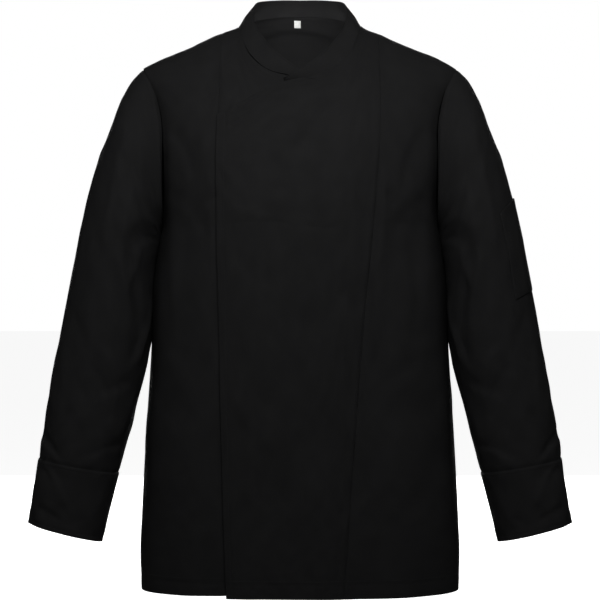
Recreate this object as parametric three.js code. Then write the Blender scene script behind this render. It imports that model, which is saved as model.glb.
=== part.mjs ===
// A chef jacket, filled out as it is worn and hollow inside.
// Millimetres, +Z up, the front faces -Y, the wearer's left is +X.
// The origin is the middle of the neck opening, level with the neck ends of the shoulder seams.
import * as THREE from 'three';

// ---- driving sizes ----
const WALL = 1.4;
const COLLAR_WALL = 2;
const SEAM_GAP = 0.3;
const ARMHOLE_GAP = 0.8;
const POCKET_GAP = 0.4;
const COLLAR_SEAT = 2.2; // the collar's lower edge is this far up from the neck seam
const HEM_Z = -766;
const SHORT_HEM = 3.5; // the right side panel ends this much higher than the lap
const UNDERARM_Z = -275;
const SHOULDER_TIP = { x: 213, z: -61 };
const NECK_POINT_X = 83;
const SHOULDER_SEAM_Y = 6;
const PANEL_SEAM_TOP = { x: 107, z: -13 }; // where a front panel seam meets the shoulder
const LAP_LIFT = 2.6; // the lap lies this far out on what it covers
const UNDERLAP_PAST_CENTRE = 22;
const LAP_FADE_FROM = 34; // from here to the panel seam the lap comes back level with the side panel
const LAP_CORNER = { x: -107, z: -131 };
const COLLAR_TIP = { x: -21, z: -85 };
const RING_POWER = 2.45; // 2 is an ellipse, more is squarer
const SLEEVE_POWER = 2.15;

// ---- the torso, by height: half width, front depth, back depth ----
const TORSO = [
  { z: -766, width: 215, front: 126, back: 120 },
  { z: -702, width: 215.4, front: 127, back: 119 },
  { z: -566, width: 209, front: 129, back: 114 },
  { z: -443, width: 201.3, front: 132, back: 110 },
  { z: -355, width: 199, front: 134, back: 114 },
  { z: -300, width: 191.5, front: 134, back: 121 },
  { z: -275, width: 188, front: 133, back: 124 },
  { z: -235, width: 195, front: 131, back: 127 },
  { z: -170, width: 200, front: 121, back: 128 },
  { z: -110, width: 205, front: 100, back: 122 },
  { z: -61, width: 226, front: 76, back: 120 },
  { z: 0, width: 240, front: 60, back: 118 },
  { z: 60, width: 250, front: 50, back: 118 },
];

// ---- the ridge along the shoulders, by distance from the middle: its height, and how far below
// it the cloth has turned down to the torso's depth, in front and behind ----
const RIDGE = [
  { x: 0, z: 60, front: 200, back: 160 },
  { x: 30, z: 50, front: 190, back: 155 },
  { x: 60, z: 22, front: 160, back: 145 },
  { x: 83, z: -3, front: 135, back: 130 },
  { x: 107, z: -13, front: 122, back: 122 },
  { x: 150, z: -31.4, front: 112, back: 112 },
  { x: 190, z: -48.6, front: 100, back: 100 },
  { x: 213, z: -61, front: 90, back: 90 },
  { x: 226, z: -72, front: 86, back: 86 },
];

// ---- the torso's large folds, ridges above 0 and troughs below: they run from top to bottom ----
const FOLDS = [
  { side: 'front', topX: -128, topZ: -470, bottomX: -150, bottomZ: -766, width: 27, height: 4 },
  { side: 'front', topX: -35, topZ: -540, bottomX: -48, bottomZ: -766, width: 30, height: -2.5 },
  { side: 'front', topX: 28, topZ: -560, bottomX: 30, bottomZ: -766, width: 30, height: 2 },
  { side: 'front', topX: 122, topZ: -500, bottomX: 138, bottomZ: -766, width: 28, height: 3.5 },
  { side: 'back', topX: 0, topZ: -140, bottomX: 4, bottomZ: -450, width: 30, height: -5 },
  { side: 'back', topX: -62, topZ: -190, bottomX: -88, bottomZ: -766, width: 27, height: 5 },
  { side: 'back', topX: 66, topZ: -210, bottomX: 80, bottomZ: -766, width: 29, height: 4.5 },
  { side: 'back', topX: -128, topZ: -300, bottomX: -142, bottomZ: -766, width: 24, height: -5 },
  { side: 'back', topX: 126, topZ: -280, bottomX: 138, bottomZ: -766, width: 25, height: -4 },
  { side: 'back', topX: 2, topZ: -520, bottomX: -6, bottomZ: -766, width: 34, height: -4 },
];
const FOLD_FADE = 0.35; // a fold rises over this share of its length

// ---- the armhole seam, top to bottom ----
const ARMHOLE = [
  { z: -275, x: 188 },
  { z: -262, x: 186.4 },
  { z: -235, x: 184.6 },
  { z: -171, x: 184.5 },
  { z: -137, x: 186 },
  { z: -100, x: 194 },
  { z: -76, x: 205 },
  { z: -61, x: 213 },
];

// ---- the neck seam: height by distance from the middle, in front and behind ----
const FRONT_NECK = [
  { x: -30, z: -87 },
  { x: 0, z: -81 },
  { x: 24, z: -76 },
  { x: 42, z: -70 },
  { x: 57, z: -58.6 },
  { x: 70.5, z: -41 },
  { x: 77, z: -22 },
  { x: 83, z: -3 },
];
const BACK_NECK = [
  { x: 0, z: 20 },
  { x: 30, z: 18.5 },
  { x: 60, z: 11 },
  { x: 76, z: 2 },
  { x: 83, z: -3 },
];

// ---- the top edge of the collar, from the middle of the back to its end in front; seamX is where
// the same stretch of the collar meets the neck seam ----
const COLLAR_BACK = [
  { seamX: 0, x: 0, y: 74, z: 42 },
  { seamX: 30, x: 24, y: 69, z: 41.5 },
  { seamX: 56, x: 43, y: 54, z: 38 },
  { seamX: 74, x: 56, y: 33, z: 32 },
];
const COLLAR_FRONT = [
  { seamX: 83, x: 62, y: 8, z: 21 },
  { seamX: 79.5, x: 62, y: -12, z: 5 },
  { seamX: 75, x: 57.5, y: -27, z: -9 },
  { seamX: 67, x: 48, y: -43, z: -24 },
  { seamX: 54, x: 36, y: -58, z: -39 },
  { seamX: 36, x: 20, y: -70, z: -54 },
  { seamX: 14, x: 3, y: -79, z: -67 },
  { seamX: -6, x: -10, y: -84, z: -76 },
  { seamX: -21, x: -21, y: -87, z: -83.5 },
];
const COLLAR_OUTER_LIFT = 2.2; // the outer end is moved this far out, and the inner end this far in
const COLLAR_INNER_LIFT = -4.8;
const COLLAR_LIFT_RUN = { from: 2, over: 5 }; // sections in front of the shoulder that it rises over

// ---- the sleeve: each row is a section through its outer and inner line, with its depth to the
// front and back of its middle, and how far forward that middle is ----
const SLEEVE = [
  { outerX: 213, outerZ: -61, innerX: 188.6, innerZ: -275, front: 64, back: 66, forward: 0 },
  { outerX: 229, outerZ: -78, innerX: 189.2, innerZ: -280, front: 68, back: 70, forward: 0 },
  { outerX: 245, outerZ: -108, innerX: 190, innerZ: -286, front: 72, back: 74, forward: 0 },
  { outerX: 258.5, outerZ: -146, innerX: 191.8, innerZ: -295, front: 75, back: 77, forward: 0 },
  { outerX: 271.3, outerZ: -185, innerX: 194.2, innerZ: -310, front: 77, back: 79, forward: 1 },
  { outerX: 286.5, outerZ: -238, innerX: 198.6, innerZ: -334, front: 77, back: 78, forward: 2 },
  { outerX: 299.5, outerZ: -292, innerX: 201.4, innerZ: -368, front: 73, back: 74, forward: 4 },
  { outerX: 313.5, outerZ: -362, innerX: 202.4, innerZ: -420, front: 66, back: 68, forward: 8 },
  { outerX: 325, outerZ: -424, innerX: 206.4, innerZ: -461, front: 61, back: 63, forward: 12 },
  { outerX: 334.5, outerZ: -480, innerX: 218.4, innerZ: -508, front: 57, back: 58, forward: 17 },
  { outerX: 344, outerZ: -536, innerX: 231.6, innerZ: -560, front: 52, back: 53, forward: 22 },
  { outerX: 352.4, outerZ: -588, innerX: 244, innerZ: -608, front: 48, back: 49, forward: 26 },
  { outerX: 359.3, outerZ: -634, innerX: 255, innerZ: -655, front: 46, back: 46, forward: 29 },
  { outerX: 365, outerZ: -676, innerX: 266.4, innerZ: -701.5, front: 45, back: 45, forward: 31 },
];
const CUFF_ROW = 11; // the cuff seam is at this section of the sleeve
const CUFF_ROW_GAP = 0.005; // how far sleeve and cuff each stop short of it, in sections
const ARMHOLE_FADE_ROWS = 3; // the armhole's own shape has faded out by this section

// ---- the sleeve pocket, in sections of the sleeve and steps around it ----
const POCKET_ROWS = { from: 5, to: 7 };
const POCKET_STEPS = { from: 17, to: 21 };

const LABEL = { x: -3.5, width: 10, top: 16, height: 9, wall: 0.8 };

// ---- colours ----
const BLACK_CLOTH = { color: 0x141415, roughness: 0.85, metalness: 0 };
const LABEL_CLOTH = { color: 0xe8e8e4, roughness: 0.8, metalness: 0 };

const mix = (a, b, t) => a + (b - a) * t;
const power = (value, exponent) => Math.sign(value) * Math.abs(value) ** exponent;
const clamp01 = (value) => Math.min(1, Math.max(0, value));
const smooth = (value) => {
  const t = clamp01(value);
  return t * t * (3 - 2 * t);
};

// A smooth line through one column of a table, read against another column.
function curve(rows, key, column) {
  const slope = (i) => {
    const before = rows[Math.max(i - 1, 0)];
    const after = rows[Math.min(i + 1, rows.length - 1)];
    return (after[column] - before[column]) / (after[key] - before[key]);
  };
  return (at) => {
    const last = rows.length - 2;
    const found = rows.findIndex((row, i) => i <= last && at <= rows[i + 1][key]);
    const i = found < 0 ? last : found;
    const span = rows[i + 1][key] - rows[i][key];
    const t = clamp01((at - rows[i][key]) / span);
    const a = rows[i][column];
    const b = rows[i + 1][column];
    const bend = (1 - t) ** 2 * t * span * slope(i) - (1 - t) * t * t * span * slope(i + 1);
    return a + (b - a) * t * t * (3 - 2 * t) + bend;
  };
}

const torso = {
  width: curve(TORSO, 'z', 'width'),
  front: curve(TORSO, 'z', 'front'),
  back: curve(TORSO, 'z', 'back'),
};
const ridge = {
  z: curve(RIDGE, 'x', 'z'),
  front: curve(RIDGE, 'x', 'front'),
  back: curve(RIDGE, 'x', 'back'),
};
const armholeX = curve(ARMHOLE, 'z', 'x');
const frontNeckZ = curve(FRONT_NECK, 'x', 'z');
const backNeckZ = curve(BACK_NECK, 'x', 'z');

// How far the large folds push the cloth out, at a distance from the middle and a height.
function drape(side, x, z) {
  const here = FOLDS.filter((fold) => fold.side === side);
  return here.reduce((sum, fold) => {
    const along = (fold.topZ - z) / (fold.topZ - fold.bottomZ);
    const centre = mix(fold.topX, fold.bottomX, along);
    const end = fold.bottomZ > HEM_Z ? smooth((1 - along) / FOLD_FADE) : 1;
    const across = Math.exp(-(((x - centre) / fold.width) ** 2));
    return sum + fold.height * smooth(along / FOLD_FADE) * end * across;
  }, 0);
}

// How far forward or back the torso's cloth is, at a distance from the middle and a height.
function torsoY(side, x, z) {
  const across = clamp01(Math.abs(x) / torso.width(z));
  const round = torso[side](z) * (1 - across ** RING_POWER) ** (1 / RING_POWER);
  const ring = round + drape(side, x, z) * (1 - across ** 8);
  const below = clamp01((ridge.z(Math.abs(x)) - z) / ridge[side](Math.abs(x)));
  const turned = Math.sqrt(1 - (1 - below) ** 2);
  const outward = side === 'front' ? -1 : 1;
  return mix(SHOULDER_SEAM_Y, outward * ring, turned);
}

function torsoPoint(side, x, z) {
  const outward = side === 'front' ? -1 : 1;
  return new THREE.Vector3(x, torsoY(side, x, z) + outward * SEAM_GAP / 2, z);
}

// A wall of cloth inside a grid of outer points. Each row runs across the piece; a closed grid
// joins its last column to its first. level(i, j, normal) can turn a normal at a seam.
function wall(grid, thickness, closed = false, level = null) {
  const rows = grid.length;
  const columns = grid[0].length;
  const wrap = (j) => (closed ? (j + columns) % columns : Math.min(Math.max(j, 0), columns - 1));
  const positions = [];
  const inner = [];
  grid.forEach((row, i) => row.forEach((point, j) => {
    const across = row[wrap(j + 1)].clone().sub(row[wrap(j - 1)]);
    const along = grid[Math.min(i + 1, rows - 1)][j].clone().sub(grid[Math.max(i - 1, 0)][j]);
    const normal = across.cross(along).normalize();
    if (level) {
      level(i, j, normal);
      normal.normalize();
    }
    positions.push(point);
    inner.push(point.clone().addScaledVector(normal, -thickness));
  }));
  positions.push(...inner);
  const outerIndex = (i, j) => i * columns + wrap(j);
  const innerIndex = (i, j) => rows * columns + outerIndex(i, j);
  const faces = [];
  const quad = (a, b, c, d) => faces.push(a, b, c, a, c, d);
  const spans = closed ? columns : columns - 1;
  for (let i = 0; i < rows - 1; i += 1) {
    for (let j = 0; j < spans; j += 1) {
      const k = closed ? (j + 1) % columns : j + 1;
      quad(outerIndex(i, j), outerIndex(i, k), outerIndex(i + 1, k), outerIndex(i + 1, j));
      quad(innerIndex(i, j), innerIndex(i + 1, j), innerIndex(i + 1, k), innerIndex(i, k));
    }
  }
  const top = rows - 1;
  for (let j = 0; j < spans; j += 1) {
    const k = closed ? (j + 1) % columns : j + 1;
    quad(outerIndex(0, j), innerIndex(0, j), innerIndex(0, k), outerIndex(0, k));
    quad(outerIndex(top, j), outerIndex(top, k), innerIndex(top, k), innerIndex(top, j));
  }
  for (let i = 0; i < rows - 1 && !closed; i += 1) {
    const end = columns - 1;
    quad(outerIndex(i, 0), outerIndex(i + 1, 0), innerIndex(i + 1, 0), innerIndex(i, 0));
    quad(outerIndex(i, end), innerIndex(i, end), innerIndex(i + 1, end), outerIndex(i + 1, end));
  }
  const geometry = new THREE.BufferGeometry();
  geometry.setAttribute('position', new THREE.Float32BufferAttribute(
    positions.flatMap((point) => [point.x, point.y, point.z]), 3));
  geometry.setIndex(faces);
  geometry.computeVertexNormals();
  return geometry;
}

// The inside points of a sheet whose four edges are given as (x, z) lines.
function patch({ bottom, top, left, right }, u, v) {
  const at = (key) => {
    const edges = mix(bottom(u)[key], top(u)[key], v) + mix(left(v)[key], right(v)[key], u);
    const corners = mix(mix(bottom(0)[key], bottom(1)[key], u), mix(top(0)[key], top(1)[key], u), v);
    return edges - corners;
  };
  return { x: at('x'), z: at('z') };
}

// A straight run along a list of (x, z) corners, by share of its length.
function polyline(points) {
  const lengths = points.slice(1).map((p, i) => Math.hypot(p.x - points[i].x, p.z - points[i].z));
  const total = lengths.reduce((sum, length) => sum + length, 0);
  return (t) => {
    let left = t * total;
    let i = 0;
    while (i < lengths.length - 1 && left > lengths[i]) {
      left -= lengths[i];
      i += 1;
    }
    const share = left / lengths[i];
    return { x: mix(points[i].x, points[i + 1].x, share), z: mix(points[i].z, points[i + 1].z, share) };
  };
}

function line(from, to, steps, pointAt) {
  return Array.from({ length: steps + 1 }, (_, i) => pointAt(mix(from, to, i / steps)));
}

// ---- the panel seams of the front: distance from the middle by height ----
const RIGHT_SEAM = [
  { z: HEM_Z, x: 95 },
  { z: -610, x: 100 },
  { z: -400, x: 104.5 },
  { z: -200, x: 108 },
  PANEL_SEAM_TOP,
];
const LEFT_SEAM = [
  { z: HEM_Z, x: 57 },
  { z: -610, x: 68 },
  { z: -400, x: 84 },
  { z: -300, x: 94 },
  { z: -200, x: 103 },
  { z: -131, x: 106 },
  PANEL_SEAM_TOP,
];
const rightSeamX = curve(RIGHT_SEAM, 'z', 'x');
const leftSeamX = curve(LEFT_SEAM, 'z', 'x');

const TORSO_ROWS = 20;
const NECK_STEPS = 16;
const HEM_CROWDING = 2.2; // above 1 the hem's points stand closer towards the side seam
const SIDE_COLUMNS = 8;
const ARMHOLE_ROWS = 9;
const UNDERARM_SHARE = 1 - ARMHOLE_ROWS / TORSO_ROWS; // the rows below the armhole
const edgeHeight = (v, topZ, hemZ = HEM_Z) => (v < UNDERARM_SHARE
  ? mix(hemZ, UNDERARM_Z, v / UNDERARM_SHARE)
  : mix(UNDERARM_Z, topZ, (1 - Math.cos(Math.PI * (v - UNDERARM_SHARE) / (1 - UNDERARM_SHARE))) / 2));

// The side seam and, above it, the armhole seam.
function sideEdge(v, hemZ) {
  const z = edgeHeight(v, SHOULDER_TIP.z, hemZ);
  return { x: v < UNDERARM_SHARE ? torso.width(z) : armholeX(z), z };
}

const mirrored = (grid) => grid.map((row) => row.map((p) => new THREE.Vector3(-p.x, p.y, p.z)).reverse());

// The cloth turns straight out at the side seam and straight up at the shoulder seam.
const squareToSeams = (sideColumns, topRow) => (i, j, normal) => {
  const below = i <= TORSO_ROWS - ARMHOLE_ROWS;
  if (topRow(i, j) || (below && sideColumns.includes(j))) {
    normal.y = 0;
  }
};

// Rows of points over one side of the torso: sheetAt(u, v) gives the (x, z) of the wearer's left,
// and sign -1 puts the panel on the wearer's right.
function torsoRows(side, sign, columns, sheetAt) {
  return line(0, 1, TORSO_ROWS, (v) => {
    const row = line(0, 1, columns, (u) => {
      const { x, z } = sheetAt(u, v);
      const most = torso.width(z);
      return torsoPoint(side, sign * Math.min(Math.max(x, -most), most), z);
    });
    return sign < 0 ? row.reverse() : row;
  });
}

function sidePanelGrid(sign, seamX, hemAtSeam, hemAtSide) {
  const seamTop = { x: seamX(PANEL_SEAM_TOP.z) + SEAM_GAP, z: ridge.z(seamX(PANEL_SEAM_TOP.z)) };
  const edges = {
    bottom: (u) => ({
      x: mix(seamX(HEM_Z) + SEAM_GAP, torso.width(HEM_Z), 1 - (1 - u) ** HEM_CROWDING),
      z: mix(hemAtSeam, hemAtSide, u),
    }),
    top: (u) => {
      const x = mix(seamTop.x, SHOULDER_TIP.x, u);
      return { x, z: ridge.z(x) };
    },
    left: (v) => {
      const z = edgeHeight(v, seamTop.z, hemAtSeam);
      return { x: seamX(z) + SEAM_GAP, z };
    },
    right: (v) => sideEdge(v, hemAtSide),
  };
  return torsoRows('front', sign, SIDE_COLUMNS, (u, v) => patch(edges, u, v));
}

const cloth = (finish) => new THREE.MeshStandardMaterial({ ...finish, side: THREE.FrontSide });
const group = new THREE.Group();

function add(name, geometry, finish = BLACK_CLOTH) {
  const mesh = new THREE.Mesh(geometry, cloth(finish));
  mesh.name = name;
  group.add(mesh);
}

// ---- back ----
const BACK_COLUMNS = 20;
function backGrid() {
  const half = NECK_POINT_X;
  const shoulder = polyline([{ x: -SHOULDER_TIP.x }, { x: -half }, { x: half }, { x: SHOULDER_TIP.x }]
    .map((p) => ({ x: p.x, z: 0 })));
  const edges = {
    bottom: (u) => ({
      x: torso.width(HEM_Z) * power(Math.sin((u - 0.5) * Math.PI), 2 / RING_POWER),
      z: HEM_Z,
    }),
    top: (u) => {
      const { x } = shoulder(u);
      const away = Math.abs(x);
      return { x, z: away < half ? backNeckZ(away) : ridge.z(away) };
    },
    left: (v) => {
      const { x, z } = sideEdge(v, HEM_Z);
      return { x: -x, z };
    },
    right: (v) => sideEdge(v, HEM_Z),
  };
  return torsoRows('back', 1, BACK_COLUMNS, (u, v) => patch(edges, u, v));
}
const backRows = backGrid();
const onShoulder = (point) => Math.abs(point.x) >= NECK_POINT_X - 1;
const atShoulder = (i, j) => i === TORSO_ROWS && onShoulder(backRows[i][BACK_COLUMNS - j]);
add('back', wall(backRows.map((row) => [...row].reverse()), WALL, false,
  squareToSeams([0, BACK_COLUMNS], atShoulder)));

// ---- side panels of the front ----
const atTop = (i) => i === TORSO_ROWS;
const leftSideGrid = sidePanelGrid(1, leftSeamX, HEM_Z, HEM_Z);
const rightSideGrid = sidePanelGrid(-1, rightSeamX, HEM_Z + SHORT_HEM, HEM_Z + 1);
add('side_front_left', wall(leftSideGrid, WALL, false, squareToSeams([SIDE_COLUMNS], atTop)));
add('side_front_right', wall(rightSideGrid, WALL, false, squareToSeams([0], atTop)));

// ---- centre panels of the front ----
const lapLift = (x, z) => (
  LAP_LIFT * (1 - smooth((x - LAP_FADE_FROM) / (leftSeamX(z) - LAP_FADE_FROM))));

const neckRun = (from, to, steps) => line(from, to, steps, (x) => ({ x, z: frontNeckZ(x) }));

function centreGrid({ sign, top, innerX, innerTopZ, seamX, hemZ, columns }) {
  const seamTopX = seamX(PANEL_SEAM_TOP.z) - SEAM_GAP;
  const along = polyline([...top, { x: seamTopX, z: ridge.z(seamTopX) }]);
  const edges = {
    bottom: (u) => ({ x: mix(innerX(HEM_Z), seamX(HEM_Z) - SEAM_GAP, u), z: hemZ }),
    top: along,
    left: (v) => {
      const z = edgeHeight(v, innerTopZ, hemZ);
      return { x: innerX(z), z };
    },
    right: (v) => {
      const z = edgeHeight(v, ridge.z(seamTopX), hemZ);
      return { x: seamX(z) - SEAM_GAP, z };
    },
  };
  return torsoRows('front', sign, columns, (u, v) => patch(edges, u, v));
}

const LAP_COLUMNS = 12;
const UNDERLAP_COLUMNS = 8;
const lapRows = centreGrid({
  sign: 1,
  top: [LAP_CORNER, ...neckRun(COLLAR_TIP.x, NECK_POINT_X, NECK_STEPS)],
  innerX: (z) => -rightSeamX(z),
  innerTopZ: LAP_CORNER.z,
  seamX: leftSeamX,
  hemZ: HEM_Z,
  columns: LAP_COLUMNS,
});
lapRows.flat().forEach((point) => {
  point.y -= lapLift(point.x, point.z);
});
add('front_left', wall(lapRows, WALL, false,
  squareToSeams([], (i, j) => atTop(i) && lapRows[i][j].x > NECK_POINT_X - 1)));

const underlapRows = centreGrid({
  sign: -1,
  top: neckRun(-UNDERLAP_PAST_CENTRE, NECK_POINT_X, NECK_STEPS),
  innerX: () => -UNDERLAP_PAST_CENTRE,
  innerTopZ: frontNeckZ(-UNDERLAP_PAST_CENTRE),
  seamX: rightSeamX,
  hemZ: HEM_Z + SHORT_HEM,
  columns: UNDERLAP_COLUMNS,
});
add('front_right', wall(underlapRows, WALL, false,
  squareToSeams([], (i, j) => atTop(i) && underlapRows[i][j].x < 1 - NECK_POINT_X)));

// ---- sleeves and cuffs ----
const AROUND = 2 * ARMHOLE_ROWS; // steps around, so that they meet the torso's rows at the armhole
SLEEVE.forEach((row, index) => {
  row.row = index;
});
const sleeve = Object.fromEntries(
  Object.keys(SLEEVE[0]).map((column) => [column, curve(SLEEVE, 'row', column)]));

function sleeveRing(row, angle) {
  const out = (power(Math.cos(angle), 2 / SLEEVE_POWER) + 1) / 2;
  const deep = power(Math.sin(angle), 2 / SLEEVE_POWER);
  const depth = deep > 0 ? sleeve.front(row) : sleeve.back(row);
  return new THREE.Vector3(
    mix(sleeve.innerX(row), sleeve.outerX(row), out),
    -sleeve.forward(row) - depth * deep,
    mix(sleeve.innerZ(row), sleeve.outerZ(row), out));
}

function armholePoint(angle) {
  const z = mix(UNDERARM_Z, SHOULDER_TIP.z, (Math.cos(angle) + 1) / 2);
  const x = armholeX(z);
  const y = torsoY(Math.sin(angle) > 0 ? 'front' : 'back', x, z);
  return new THREE.Vector3(x + ARMHOLE_GAP, y, z);
}

function sleevePoint(row, angle) {
  const point = sleeveRing(row, angle);
  const share = clamp01(1 - row / ARMHOLE_FADE_ROWS) ** 2;
  return point.addScaledVector(armholePoint(angle).sub(sleeveRing(0, angle)), share);
}

function torsoNormal(side, x, z) {
  const step = 0.5;
  const slopeX = (torsoY(side, x + step, z) - torsoY(side, x - step, z)) / (2 * step);
  const slopeZ = (torsoY(side, x, z + step) - torsoY(side, x, z - step)) / (2 * step);
  const normal = new THREE.Vector3(slopeX, -1, slopeZ).normalize();
  return side === 'front' ? normal : normal.negate();
}

// Over the shoulder the sleeve's edge is cut at the torso's own slope, so that the two lie flush.
function flushWithTorso(i, j, normal) {
  if (i > 0) {
    return;
  }
  const angle = 2 * Math.PI * j / AROUND;
  const at = armholePoint(angle);
  const across = torsoNormal(Math.sin(angle) > 0 ? 'front' : 'back', at.x - 1, Math.min(at.z, -63));
  if (j === 0) {
    across.y = 0;
  }
  normal.lerp(across.normalize(), smooth((Math.cos(angle) + 0.2) / 0.8));
}

const sleeveRows = (from, to, steps) => line(from, to, steps, (row) => (
  Array.from({ length: AROUND }, (_, j) => sleevePoint(row, 2 * Math.PI * j / AROUND))));
const ROW_STEPS = 2; // rings to each section of the sleeve's table
const CUFF_STEPS = 3;
const sleeveGrid = sleeveRows(0, CUFF_ROW - CUFF_ROW_GAP, CUFF_ROW * ROW_STEPS);
const cuffGrid = sleeveRows(CUFF_ROW + CUFF_ROW_GAP, SLEEVE.length - 1, CUFF_STEPS);
add('sleeve_left', wall(sleeveGrid, WALL, true, flushWithTorso));
add('cuff_left', wall(cuffGrid, WALL, true));
add('sleeve_right', wall(mirrored(sleeveGrid), WALL, true, (i, j, normal) => {
  normal.x = -normal.x;
  flushWithTorso(i, AROUND - 1 - j, normal);
  normal.x = -normal.x;
}));
add('cuff_right', wall(mirrored(cuffGrid), WALL, true));

// ---- collar: one band from the tip of its outer end, round the back, to the tip of its inner end ----
const collarHalf = [
  ...COLLAR_BACK.map((row) => ({ ...row, side: 'back' })),
  ...COLLAR_FRONT.map((row) => ({ ...row, side: 'front' })),
];
collarHalf.forEach((row, index) => {
  row.row = index;
});
const collar = Object.fromEntries(
  ['seamX', 'x', 'y', 'z'].map((column) => [column, curve(collarHalf, 'row', column)]));
const COLLAR_ROWS = 3;
const COLLAR_STEPS = 2; // steps to each section of the collar's table

function collarColumn(at, lift) {
  const row = Math.abs(at);
  const seamX = collar.seamX(row);
  const inFront = row >= COLLAR_BACK.length;
  const seamZ = inFront ? frontNeckZ(seamX) : backNeckZ(seamX);
  const seam = new THREE.Vector3(seamX, torsoY(inFront ? 'front' : 'back', seamX, seamZ), seamZ);
  const top = new THREE.Vector3(collar.x(row), collar.y(row), collar.z(row));
  const up = top.clone().sub(seam).normalize();
  const bottom = seam.clone().addScaledVector(up, COLLAR_SEAT);
  const out = lift * smooth((row - COLLAR_BACK.length - COLLAR_LIFT_RUN.from) / COLLAR_LIFT_RUN.over);
  return line(0, 1, COLLAR_ROWS, (t) => {
    const point = bottom.clone().lerp(top, t);
    point.y -= out;
    point.x *= at < 0 ? -1 : 1;
    return point;
  });
}
const collarSections = collarHalf.length - 1;
const collarColumns = line(-collarSections, collarSections, 2 * collarSections * COLLAR_STEPS, (at) => (
  collarColumn(at, at > 0 ? COLLAR_OUTER_LIFT : COLLAR_INNER_LIFT)));
const collarGrid = Array.from({ length: COLLAR_ROWS + 1 }, (_, i) => (
  collarColumns.map((column) => column[i]).reverse()));
add('collar', wall(collarGrid, COLLAR_WALL));

// ---- sleeve pocket: the sleeve's own points, moved out ----
const pocketGrid = sleeveGrid
  .slice(POCKET_ROWS.from * ROW_STEPS, POCKET_ROWS.to * ROW_STEPS + 1)
  .map((row, i) => line(POCKET_STEPS.from, POCKET_STEPS.to, POCKET_STEPS.to - POCKET_STEPS.from, (j) => {
    const index = POCKET_ROWS.from * ROW_STEPS + i;
    const at = (r, k) => sleeveGrid[r][(k + AROUND) % AROUND];
    const across = at(index, j + 1).clone().sub(at(index, j - 1));
    const along = at(index + 1, j).clone().sub(at(index - 1, j));
    const normal = across.cross(along).normalize();
    return row[(j + AROUND) % AROUND].clone().addScaledVector(normal, WALL + POCKET_GAP);
  }));
add('sleeve_pocket', wall(pocketGrid, WALL));

// ---- neck label: hangs inside the back, below the collar seam ----
const labelGrid = line(LABEL.top - LABEL.height, LABEL.top, 2, (z) => (
  line(LABEL.x + LABEL.width / 2, LABEL.x - LABEL.width / 2, 2, (x) => (
    torsoPoint('back', x, z).addScaledVector(torsoNormal('back', x, z), -WALL - 2 * SEAM_GAP)))));
add('neck_label', wall(labelGrid, LABEL.wall), LABEL_CLOTH);

export default group;
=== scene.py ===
# %% [markdown]
# # A chef jacket, filled out as worn and hollow inside
#
# The jacket is sewn from flat panels of black twill. Nobody wears it here, but it keeps the shape
# that a body gives it, so every panel is a thin curved sheet with open edges at the neck, the hem
# and the cuffs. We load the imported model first, because it fixes where each panel is.

# %% Load the frame
import math

import bmesh
import bpy
import numpy as np
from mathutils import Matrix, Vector


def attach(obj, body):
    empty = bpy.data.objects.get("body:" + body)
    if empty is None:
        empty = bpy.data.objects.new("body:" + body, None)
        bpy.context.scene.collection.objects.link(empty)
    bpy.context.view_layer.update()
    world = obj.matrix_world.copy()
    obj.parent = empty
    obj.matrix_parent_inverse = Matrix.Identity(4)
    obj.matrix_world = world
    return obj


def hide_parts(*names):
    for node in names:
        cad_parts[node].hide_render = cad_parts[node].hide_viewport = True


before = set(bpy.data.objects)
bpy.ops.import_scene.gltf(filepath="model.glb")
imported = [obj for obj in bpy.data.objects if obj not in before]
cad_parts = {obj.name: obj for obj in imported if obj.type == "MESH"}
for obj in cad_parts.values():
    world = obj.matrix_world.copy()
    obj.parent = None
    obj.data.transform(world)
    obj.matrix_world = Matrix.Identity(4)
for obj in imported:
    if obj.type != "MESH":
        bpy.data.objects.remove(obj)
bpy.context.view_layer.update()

MM = 0.001
print("nodes:", sorted(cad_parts))

# %% [markdown]
# ## Camera, floor and light
#
# A garment is shown straight from the front by a long lens at half its height, which keeps the
# hem and the shoulders undistorted. One big soft light from the front and above gives black cloth
# its slow fall of tone, and a pale floor and backdrop keep the outline clear.

# %% Camera
CAMERA_DISTANCE = 3.0
CAMERA_HEIGHT = -0.3754
FRAME_WIDTH = 0.816  # how much the view takes in, at the middle of the jacket
camera_data = bpy.data.cameras.new("camera")
camera_data.sensor_width = 36
camera_data.lens = camera_data.sensor_width * CAMERA_DISTANCE / FRAME_WIDTH
camera = bpy.data.objects.new("camera", camera_data)
camera.location = (0, -CAMERA_DISTANCE, CAMERA_HEIGHT)
camera.rotation_euler = (math.radians(90), 0, 0)
bpy.context.scene.collection.objects.link(camera)
bpy.context.scene.camera = camera
print("lens:", round(camera_data.lens, 1), "mm")

# %% Floor
FLOOR_Z = -0.84


def plain_material(name, colour, roughness):
    material = bpy.data.materials.new(name)
    material.use_nodes = True
    shader = material.node_tree.nodes["Principled BSDF"]
    shader.inputs["Base Color"].default_value = (*colour, 1)
    shader.inputs["Roughness"].default_value = roughness
    shader.inputs["Specular IOR Level"].default_value = 0.2
    return material


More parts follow.
